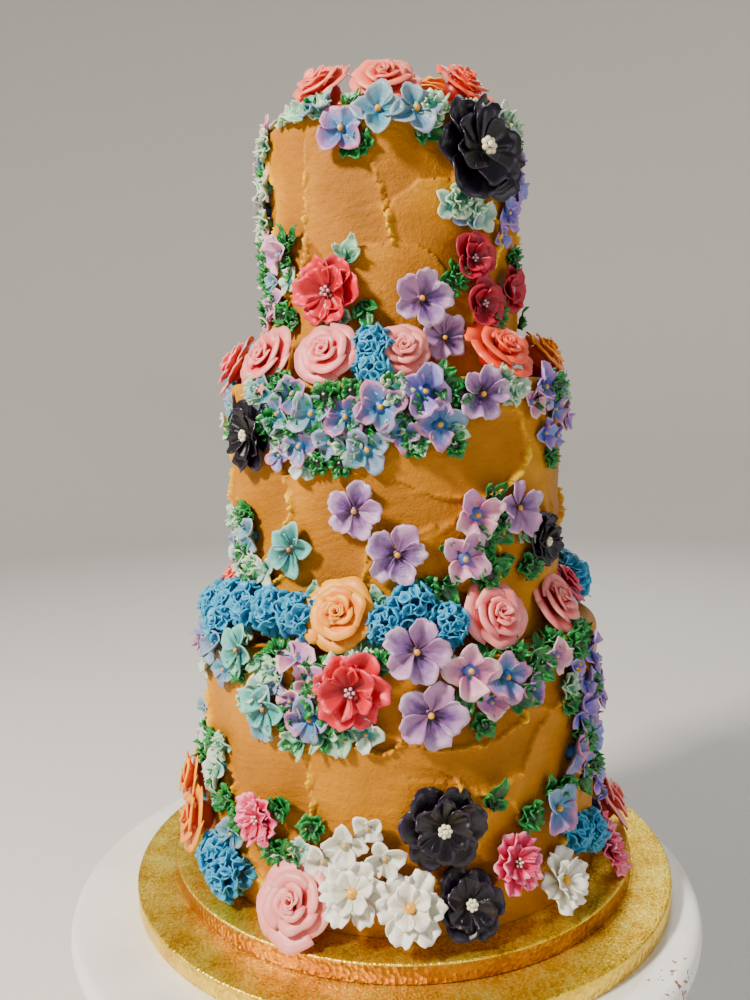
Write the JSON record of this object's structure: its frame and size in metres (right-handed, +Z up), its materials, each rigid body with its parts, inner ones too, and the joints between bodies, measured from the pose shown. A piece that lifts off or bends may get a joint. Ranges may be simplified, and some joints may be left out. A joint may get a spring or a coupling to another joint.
{
  "type": "tiered wedding cake on stand",
  "caption": "Tall three-tier amber buttercream cake dressed with piped roses, anemones, pansies and hydrangeas, on two round gold boards and a white pedestal stand.",
  "frame": {"origin": "middle of the stand's foot, where it meets the table", "axes": "+Z up through the tiers, -Y towards the cake's dressed front"},
  "size_m": [0.4064, 0.4064, 0.6185],
  "materials": {
    "stand": "white paint over metal, chipped to rust at a few places on the rim",
    "board": "embossed gold foil over thick card",
    "icing": "amber buttercream spread in strokes with a palette knife",
    "pink": "piped pink buttercream, paler at the petals' rims",
    "coral": "piped coral buttercream with ragged rims",
    "peach": "piped peach buttercream with a yellow heart",
    "orange": "piped orange buttercream",
    "crimson": "piped crimson buttercream",
    "aubergine": "piped buttercream, near black, with cream beads",
    "lilac": "piped lilac buttercream with a dark throat",
    "teal": "piped teal buttercream with pale rims and a dark throat",
    "blue": "piped blue buttercream florets",
    "cream": "piped off-white buttercream with a yellow bead",
    "hydrangea": "piped buttercream, blue at the heart and pink at the rim"
  },
  "bodies": {
    "root": {"stand": "stand", "board_large": "board", "board_small": "board", "tier_low": "icing", "tier_mid": "icing", "tier_top": "icing", "rose_top_pink": "pink", "rose_top_blush": "pink", "rose_top_coral": "coral", "anemone_top": "aubergine", "mallow_top": "crimson", "rose_mid_coral": "coral", "rose_mid_orange": "orange", "rose_mid_pink": "pink", "rose_mid_dusky": "pink", "rose_mid_shell": "pink", "rose_low_peach": "peach", "rose_low_pink": "pink", "rose_low_dusky": "pink", "rose_low_raspberry": "crimson", "rose_low_blush": "pink", "rose_base_blush": "pink", "primrose_base_left": "cream", "primrose_base_middle": "cream", "anemone_base_small": "aubergine", "anemone_base_large": "aubergine", "primrose_base_right": "cream", "carnation_base_right": "pink", "carnation_base_left": "pink", "carnation_base_far": "pink", "mallow_low": "crimson", "pansy_low_rim": "lilac", "pansy_low_side": "lilac", "pansy_top_left": "lilac", "pansy_top_right": "lilac", "pansy_mid_rim": "lilac", "pansy_mid_left": "lilac", "pansy_mid_middle": "lilac", "pansy_mid_right": "lilac", "teal_mid": "teal", "teal_low_rim": "teal", "teal_low_side": "teal", "anemone_mid_left": "aubergine", "anemone_mid_right": "aubergine", "crimson_top": "crimson", "crimson_low": "crimson", "crimson_right": "crimson", "hydrangea_base": "hydrangea", "hydrangea_top": "hydrangea", "roses_base_orange": "orange", "hydrangeas_rim": "hydrangea", "blue_mid": "blue", "blue_low": "blue", "blue_low_left": "blue", "blue_base": "blue", "blue_base_right": "blue", "garland_back_top": "pink", "garland_back_mid": "lilac", "garland_back_low": "coral", "garland_back_base": "cream"}
  },
  "joints": []
}
